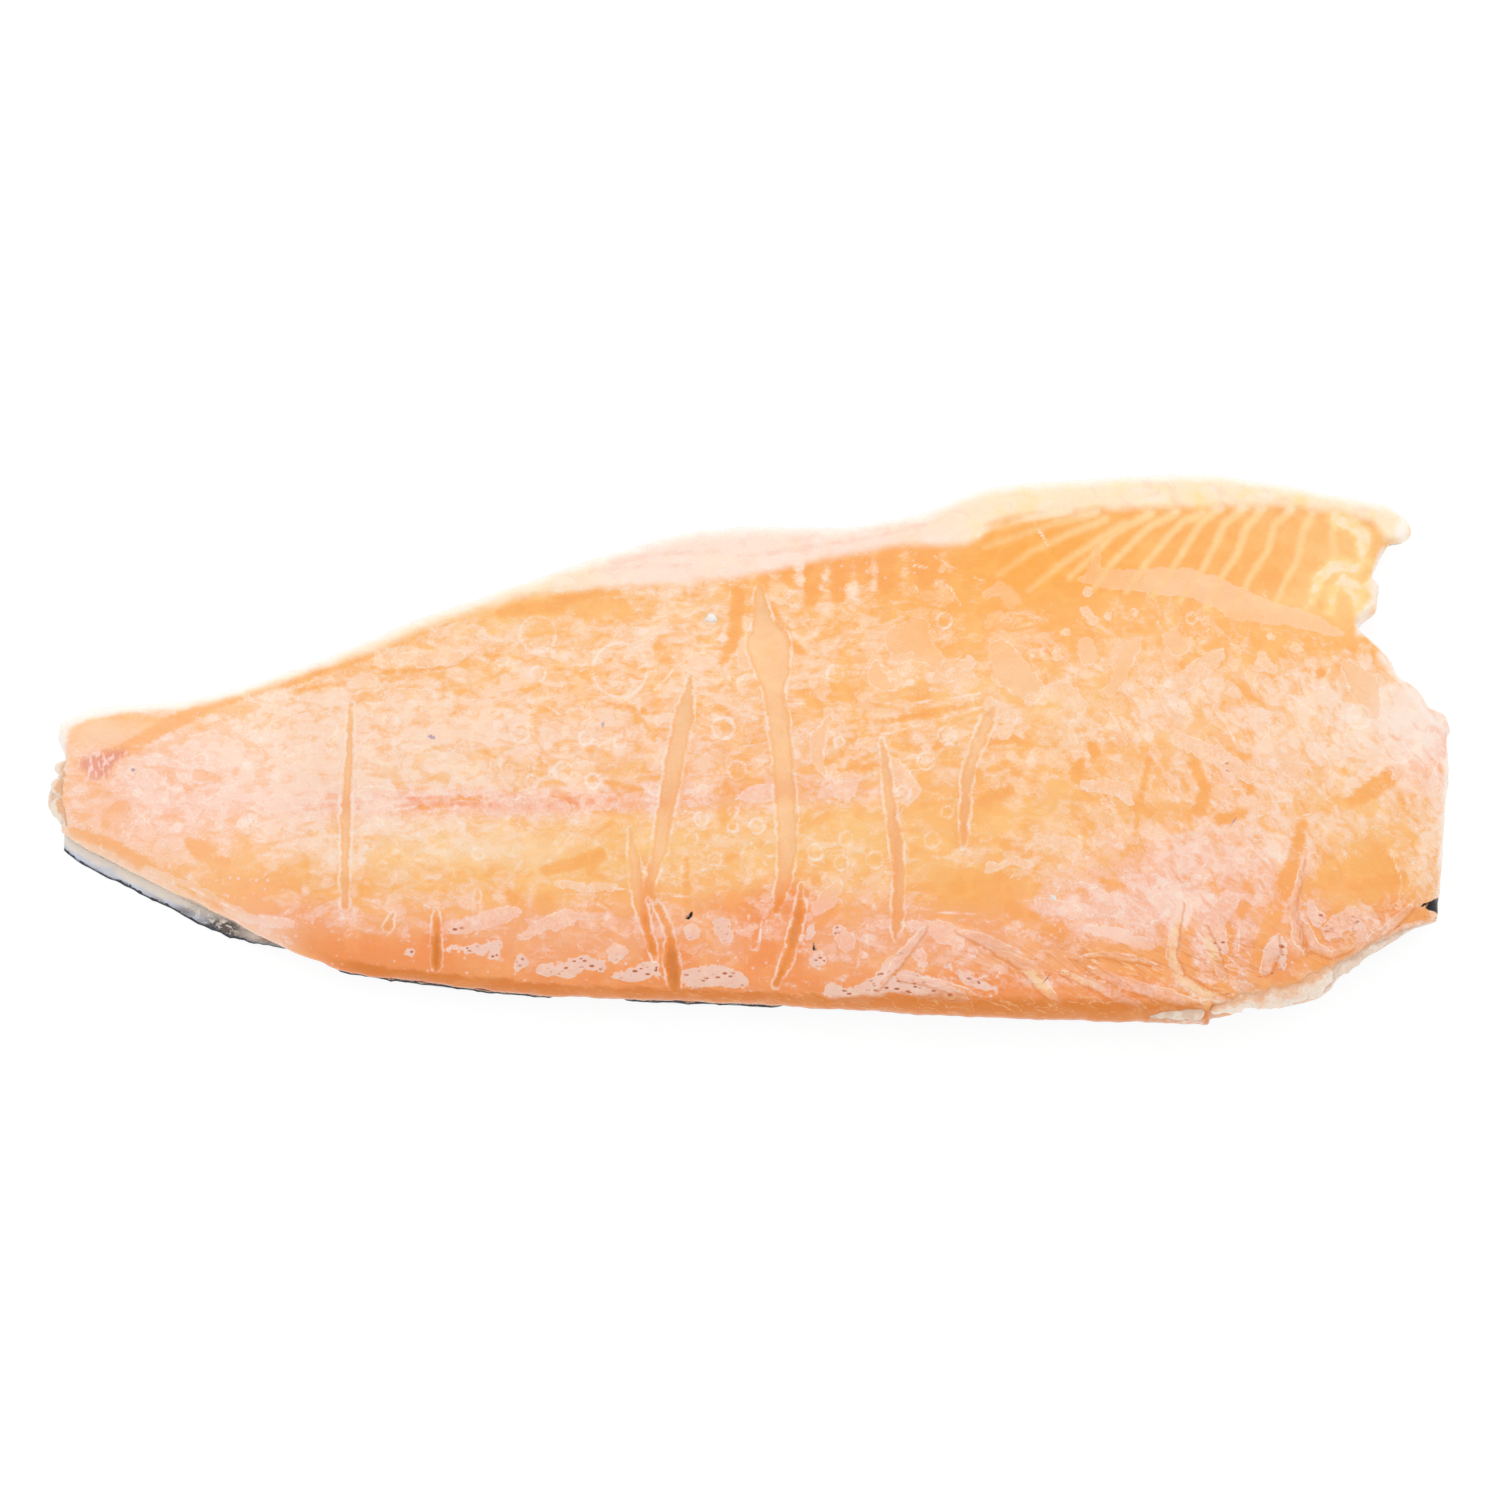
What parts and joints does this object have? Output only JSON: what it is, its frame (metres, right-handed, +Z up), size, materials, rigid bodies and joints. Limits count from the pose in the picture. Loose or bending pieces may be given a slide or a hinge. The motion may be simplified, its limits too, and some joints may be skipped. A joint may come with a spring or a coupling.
{
  "type": "skin-on salmon fillet",
  "caption": "Whole side of salmon lying skin down: a long tapering slab of orange flesh, thick by the back, thin at the belly, with its skin under it and up the back edge.",
  "frame": {"origin": "on the resting surface, under the middle of the side's box", "axes": "+X runs along the fish from tail to shoulder, +Y points to the belly edge, +Z up out of the cut flesh"},
  "size_m": [0.481, 0.1938, 0.0295],
  "materials": {
    "flesh": "wet, pale orange muscle under a thin clear glaze, with paler frosted patches and a whitish fat edge",
    "skin": "wet fish skin with small scales, dark blue-grey at the back and silver towards the belly"
  },
  "bodies": {
    "root": {"flesh": "flesh", "skin": "skin"}
  },
  "joints": []
}
